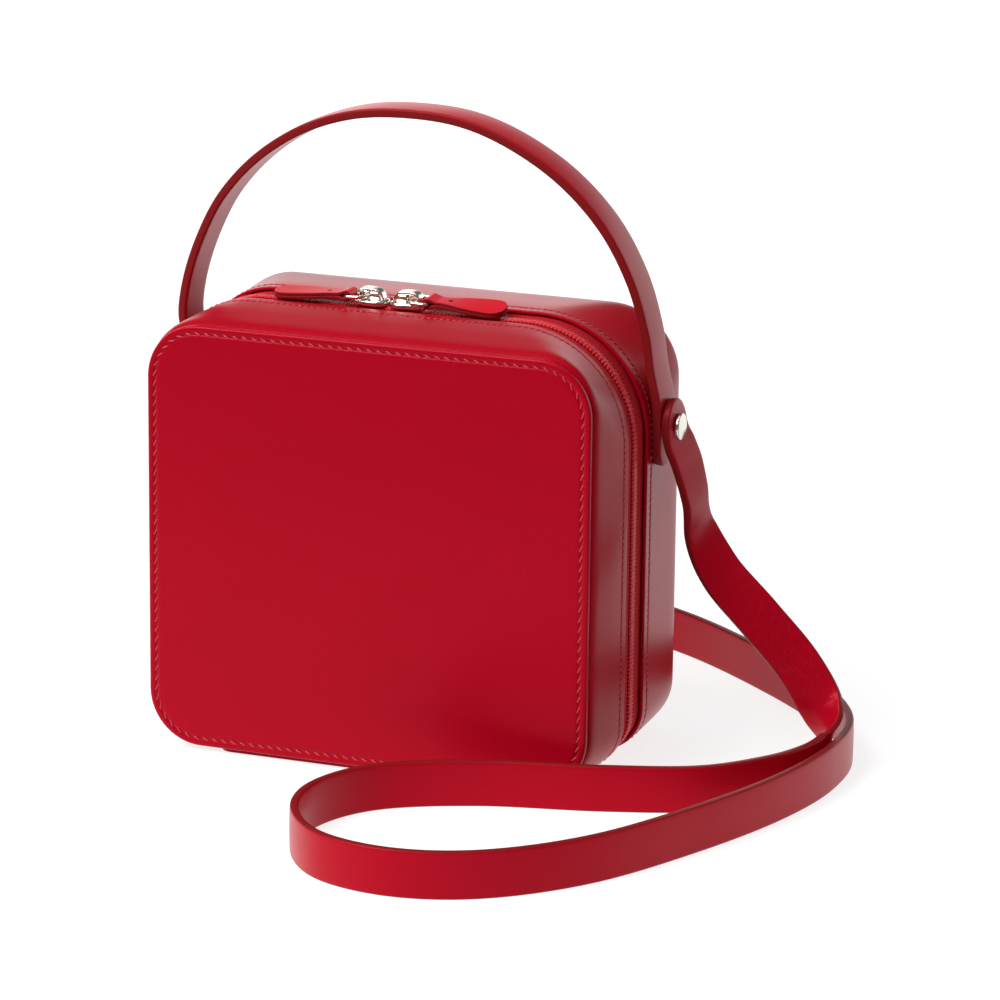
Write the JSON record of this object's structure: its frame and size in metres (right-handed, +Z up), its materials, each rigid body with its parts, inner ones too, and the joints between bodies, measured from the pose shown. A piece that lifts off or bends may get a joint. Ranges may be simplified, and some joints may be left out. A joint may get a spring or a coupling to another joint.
{
  "type": "leather shoulder bag",
  "caption": "Small boxy red leather shoulder bag with a zipped lid, a stiff arched top handle and a long flat shoulder strap that lies in a loop beside it.",
  "frame": {"origin": "the middle of the base strip's underside, on the surface that the bag stands on", "axes": "+Z up, -Y out of the front panel, +X towards the side where the strap's loop lies"},
  "size_m": [0.2958, 0.3462, 0.2447],
  "materials": {
    "red_calf": "smooth glossy calf with a fine grain",
    "zip_tape": "woven tape",
    "zip_nylon": "satin nylon coil",
    "nickel": "polished nickel plate"
  },
  "bodies": {
    "root": {"front_panel": "red_calf", "back_panel": "red_calf", "lid_gusset": "red_calf", "body_gusset": "red_calf", "base_hinge": "red_calf", "zip_tape_front": "zip_tape", "zip_tape_rear": "zip_tape", "zip_coil": "zip_nylon", "slider_left": "nickel", "slider_right": "nickel", "bail_left": "nickel", "bail_right": "nickel", "pull_tab_left": "red_calf", "pull_tab_right": "red_calf", "handle": "red_calf", "shoulder_strap": "red_calf", "screw_stud_right": "nickel", "screw_stud_left": "nickel"}
  },
  "joints": []
}
